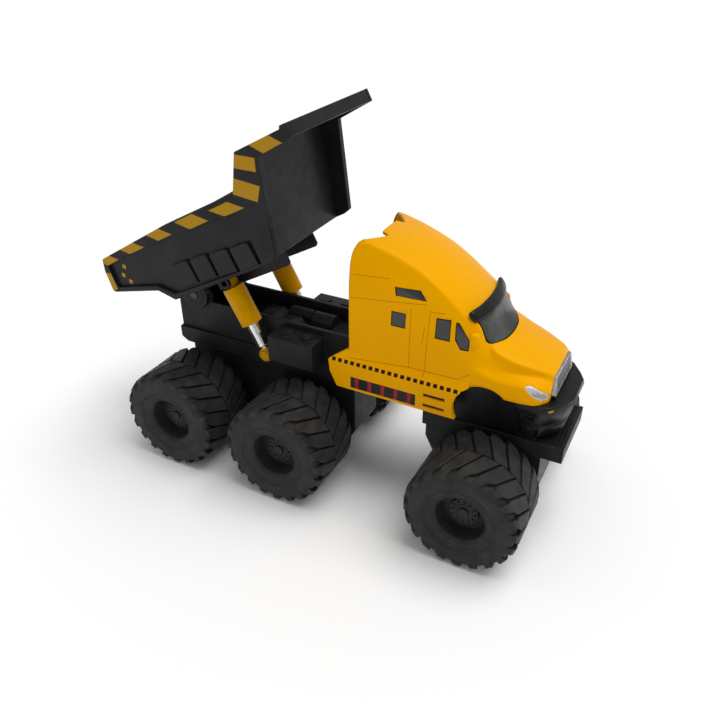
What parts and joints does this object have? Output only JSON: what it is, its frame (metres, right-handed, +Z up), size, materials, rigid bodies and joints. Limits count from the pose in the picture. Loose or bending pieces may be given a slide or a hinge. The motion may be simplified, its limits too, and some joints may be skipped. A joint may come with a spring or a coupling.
{
  "type": "toy dump truck",
  "caption": "Toy monster-tyred dump truck with a yellow die-cast cab, big lugged tyres and a black dump bed raised on two telescoping rams.",
  "frame": {"origin": "on the ground under the middle of the truck, with the bed raised", "axes": "+X forward, +Y to the truck's left, +Z up"},
  "size_m": [0.1513, 0.0708, 0.1149],
  "materials": {
    "tyre_soft": "soft matte black, dusty on the lugs",
    "wheel_plastic": "black, slightly satin",
    "axle_steel": "plain bright steel",
    "frame_plastic": "black, fine grain",
    "deck_plastic": "black, slightly glossy on the edges",
    "cab_paint": "warm yellow enamel on die-cast metal",
    "trim_plastic": "gloss black",
    "smoked_glazing": "smoked dark grey, opaque",
    "silver_trim": "silver paint on plastic",
    "lamp_lens": "silver-white, glossy",
    "base_plastic": "black, satin",
    "bed_plastic": "black, satin, yellow hazard stripes on the rims",
    "ram_yellow": "mustard yellow plastic",
    "ram_chrome": "vacuum-chromed plastic"
  },
  "bodies": {
    "truck": {"bogie_carrier": "frame_plastic", "front_carrier": "frame_plastic", "chassis_frame": "frame_plastic", "deck_gear": "deck_plastic", "cab_shell": "cab_paint", "skirt_panels": "trim_plastic", "cab_glazing": "smoked_glazing", "cab_visor": "trim_plastic", "grille": "silver_trim", "headlights": "lamp_lens", "cab_base": "base_plastic"},
    "bed": {"dump_bed": "bed_plastic", "hinge_pin": "axle_steel", "ram_pin_right": "axle_steel", "ram_pin_left": "axle_steel"},
    "front_wheels": {"axle_front": "axle_steel", "rim_front_right": "wheel_plastic", "rim_front_left": "wheel_plastic", "tyre_front_right": "tyre_soft", "tyre_front_left": "tyre_soft"},
    "middle_wheels": {"axle_middle": "axle_steel", "rim_middle_right": "wheel_plastic", "rim_middle_left": "wheel_plastic", "tyre_middle_right": "tyre_soft", "tyre_middle_left": "tyre_soft"},
    "rear_wheels": {"axle_rear": "axle_steel", "rim_rear_right": "wheel_plastic", "rim_rear_left": "wheel_plastic", "tyre_rear_right": "tyre_soft", "tyre_rear_left": "tyre_soft"},
    "barrel_right": {"ram_barrel_right": "ram_yellow"},
    "rod_right": {"ram_rod_right": "ram_chrome"},
    "barrel_left": {"ram_barrel_left": "ram_yellow"},
    "rod_left": {"ram_rod_left": "ram_chrome"}
  },
  "joints": [
    {"name": "bed_tip", "type": "hinge", "parent": "truck", "child": "bed", "pos_m": [-0.0483, 0, 0.0517], "axis": [0, -1, 0], "range_deg": [-25.5, 3]},
    {"name": "front_axle_spin", "type": "hinge", "parent": "truck", "child": "front_wheels", "pos_m": [0.0553, 0, 0.017], "axis": [0, 1, 0], "continuous": true},
    {"name": "middle_axle_spin", "type": "hinge", "parent": "truck", "child": "middle_wheels", "pos_m": [-0.0053, 0, 0.017], "axis": [0, 1, 0], "continuous": true},
    {"name": "rear_axle_spin", "type": "hinge", "parent": "truck", "child": "rear_wheels", "pos_m": [-0.0452, 0, 0.017], "axis": [0, 1, 0], "continuous": true},
    {"name": "barrel_swing_right", "type": "hinge", "parent": "bed", "child": "barrel_right", "pos_m": [-0.03207, -0.01245, 0.0612], "axis": [0, -1, 0], "range_deg": [-5, 31]},
    {"name": "rod_slide_right", "type": "slide", "parent": "barrel_right", "child": "rod_right", "axis": [0.4772, 0, -0.8788], "range_m": [-0.0085, 0.0012]},
    {"name": "barrel_swing_left", "type": "hinge", "parent": "bed", "child": "barrel_left", "pos_m": [-0.03207, 0.01245, 0.0612], "axis": [0, -1, 0], "range_deg": [-5, 31]},
    {"name": "rod_slide_left", "type": "slide", "parent": "barrel_left", "child": "rod_left", "axis": [0.4772, 0, -0.8788], "range_m": [-0.0085, 0.0012]}
  ],
  "couplings": [
    {"joint": "barrel_swing_right", "follows": "bed_tip", "ratio": -1.1461},
    {"joint": "rod_slide_right", "follows": "bed_tip", "m_per_rad": 0.01832},
    {"joint": "barrel_swing_left", "follows": "bed_tip", "ratio": -1.1461},
    {"joint": "rod_slide_left", "follows": "bed_tip", "m_per_rad": 0.01832}
  ]
}
